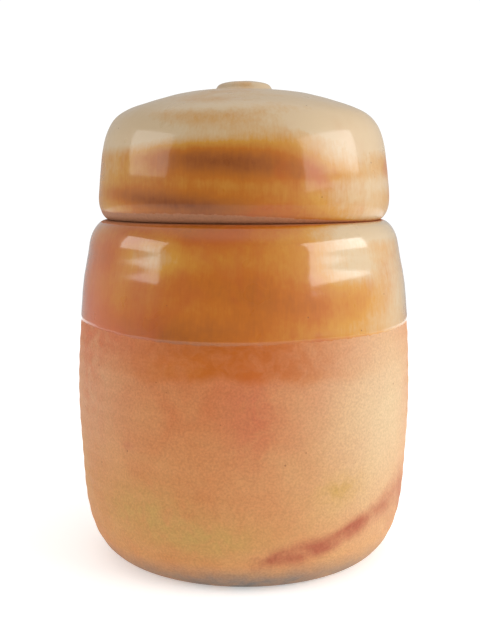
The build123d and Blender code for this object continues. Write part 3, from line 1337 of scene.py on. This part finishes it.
@dataclass(frozen=True)
class Softbox:
    """A lamp behind a white cloth, by its direction from the jar and its size, in metres."""

    name: str
    facing: float
    elevation: float
    distance: float
    width: float
    height: float
    brightness: float  # times that of a white surround

    def place(self, target: tuple[float, float, float]) -> None:
        """Adds the lamp, aimed at the target.

        Its power is brightness times pi times its area, so its size doesn't change how bright it
        looks in the glaze.

        Args:
            target: The point that it lights.
        """
        lamp = bpy.data.lights.new(self.name, "AREA")
        lamp.shape, lamp.size, lamp.size_y = "RECTANGLE", self.width, self.height
        lamp.energy = self.brightness * math.pi * self.width * self.height
        obj = bpy.data.objects.new(self.name, lamp)
        obj.location = np.array(target) + self.distance * np.array(towards(self.facing, self.elevation))
        obj.rotation_euler = (math.radians(90 - self.elevation), 0.0, math.radians(self.facing))
        obj.visible_camera = False
        bpy.context.scene.collection.objects.link(obj)


@dataclass(frozen=True)
class Cloth:
    """A white cloth far off, by its direction from the jar.

    Its light depends on the cosine of the angle between a direction and the cloth's: none under
    the first limit, all of it over the second, and an eased step between them.
    """

    facing: float
    elevation: float
    limits: Point
    brightness: float  # times that of a white surround


@dataclass(frozen=True)
class WhiteAcrylic:
    """Cast white acrylic sheet with a matt face, lit from below: bright, and hardly shiny."""

    colour: str = "fbfbfa"
    light: str = "ffffff"
    roughness: float = 0.7
    shine: float = 0.1
    glow: float = 0.36

    def material(self) -> bpy.types.Material:
        """Builds the material.

        Returns:
            The material.
        """
        material = bpy.data.materials.new("white_acrylic_table")
        tree = cleared_tree(material)
        face = add_node(tree, "ShaderNodeBsdfPrincipled", inputs={
            "Base Color": self.colour, "Roughness": self.roughness, "Specular IOR Level": self.shine,
            "Emission Color": self.light, "Emission Strength": self.glow})
        add_node(tree, "ShaderNodeOutputMaterial", inputs={"Surface": face.outputs[0]})
        return material


@dataclass
class Studio:
    """A white table before a white wall in a dim room, with a softbox on each side.

    Its sizes are in metres, apart from the two in pixels and the sensor in millimetres.
    """

    camera_back: float = 0.540
    camera_height: float = 0.196
    camera_aside: float = -0.00205
    camera_down: float = 7.73
    camera_reach: Point = (0.01, 100.0)
    focal_px: float = 1009.0
    frame_px: float = 640.0
    sensor: float = 36.0
    table_radius: float = 1.0
    table_hub: float = 0.02  # square root of the innermost ring's share of the radius
    table_rings: int = 12
    table_spokes: int = 96
    table_gap: float = 0.0001  # under the foot, so that the two faces don't coincide
    room: float = 0.25  # brightness of the dim room, times that of a white surround
    backdrop: float = 1.05  # brightness of what the camera sees behind the table
    cloths: tuple[Cloth, ...] = (
        Cloth(0, 90, (0.55, 0.9), 0.58),
        Cloth(86, 10, (0.5, 0.97), 0.38),
        Cloth(70, 10, (0.2, 0.95), 0.3),
        Cloth(-95, 5, (0.7, 0.98), 0.24),
        Cloth(180, 25, (0.3, 0.9), 0.26),
        Cloth(0, 10, (-0.1, 0.9), 0.08))
    boxes: tuple[Softbox, ...] = (
        Softbox("softbox_right", 72, 21.5, 1.3, 1.25, 0.5, 4.8),
        Softbox("softbox_left", -80, 21.5, 1.3, 0.9, 0.48, 3.1))

    def build_table(self) -> None:
        """Makes the round table top, on which only soft shadow shows.

        A vertex lies at x = r cos a, y = r sin a, for radii r that grow with the square of an
        even row and angles a all the way round.
        """
        radius = self.table_radius * (np.linspace(self.table_hub, 1, self.table_rings)[:, None] ** 2)
        angle = np.linspace(0, 2 * math.pi, self.table_spokes, endpoint=False)[None, :]
        flat = np.full((self.table_rings, self.table_spokes), -self.table_gap)
        grid = np.stack((radius * np.cos(angle), radius * np.sin(angle), flat), 2)
        index, after = wrapped(self.table_rings, self.table_spokes)
        quads = np.stack((index[:-1], index[1:], after[1:], after[:-1]), 2).reshape(-1, 4).tolist()
        mesh = bpy.data.meshes.new("pale_floor")
        mesh.from_pydata(grid.reshape(-1, 3).tolist(), [], quads + [index[0].tolist()])
        mesh.materials.append(WhiteAcrylic().material())
        table = bpy.data.objects.new("pale_floor", mesh)
        bpy.context.scene.collection.objects.link(table)

    def build_surround(self) -> None:
        """Makes the light from all round: the cloths in a dim room.

        The camera itself sees the same plain backdrop from every side.
        """
        world = bpy.data.worlds.new("white_cloths_in_a_dim_room")
        tree = cleared_tree(world)
        coords = add_node(tree, "ShaderNodeTexCoord").outputs["Generated"]
        total: Socket | float = self.room
        for cloth in self.cloths:
            share = add_node(tree, "ShaderNodeVectorMath", {"operation": "DOT_PRODUCT"},
                             {0: coords, 1: towards(cloth.facing, cloth.elevation)}).outputs["Value"]
            light = add_node(tree, "ShaderNodeMapRange", {"interpolation_type": "SMOOTHSTEP"},
                             {"Value": share, "From Min": cloth.limits[0], "From Max": cloth.limits[1],
                              "To Max": cloth.brightness}).outputs["Result"]
            total = add_node(tree, "ShaderNodeMath", {"operation": "ADD"}, {0: light, 1: total}).outputs[0]
        seen = add_node(tree, "ShaderNodeLightPath").outputs["Is Camera Ray"]
        strength = add_node(tree, "ShaderNodeMix", {"data_type": "FLOAT"},
                            {0: seen, 2: total, 3: self.backdrop}).outputs[0]
        white = add_node(tree, "ShaderNodeBackground", inputs={"Color": "ffffff", "Strength": strength})
        add_node(tree, "ShaderNodeOutputWorld", inputs={"Surface": white.outputs[0]})
        bpy.context.scene.world = world

    def build_camera(self) -> None:
        """Puts the camera at the photograph's place, with its focal length in pixels."""
        data = bpy.data.cameras.new("camera")
        data.sensor_width = self.sensor
        data.lens = self.sensor * self.focal_px / self.frame_px
        data.clip_start, data.clip_end = self.camera_reach
        camera = bpy.data.objects.new("camera", data)
        camera.location = (self.camera_aside, -self.camera_back, self.camera_height)
        camera.rotation_euler = (math.radians(90 - self.camera_down), 0.0, 0.0)
        bpy.context.scene.collection.objects.link(camera)
        bpy.context.scene.camera = camera

    def build(self, middle: float) -> None:
        """Makes the camera, table, surround and lamps.

        Args:
            middle: Height that the lamps are aimed at.
        """
        self.build_camera()
        self.build_table()
        self.build_surround()
        for box in self.boxes:
            box.place((0.0, 0.0, middle))
        bpy.context.scene.view_settings.view_transform = "Standard"


def main() -> None:
    """Builds the camera and light, then the jar and the lid.

    The lid's glaze came out a shade browner than the jar's, and less glossy.
    """
    logging.basicConfig(level=logging.INFO, format="%(message)s")
    jar_low, jar_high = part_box("jar_body")
    lid_low, lid_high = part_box("lid")
    Studio().build(lid_high.z / 2)
    glaze, clay = AmberGlaze(), FlashedClay()
    lid_glaze = AmberGlaze(gloss=0.42, stops=(
        (0.0, "c4ab88"), (0.28, "bb8434"), (0.52, "ab6218"), (0.78, "904f1c"), (1.0, "6a300e")))
    jar = JarBody(belly_radius=jar_high.x / MM, rim_height=jar_high.z / MM, ledge_height=lid_low.z / MM)
    lid = CapLid(foot_height=lid_low.z / MM, top_height=lid_high.z / MM)
    pieces = (jar.build(DippedStoneware("amber_dipped_stoneware_jar", glaze, clay)),
              lid.build(DippedStoneware("amber_glazed_stoneware_lid", lid_glaze, clay)))


if __name__ == "__main__":
    main()
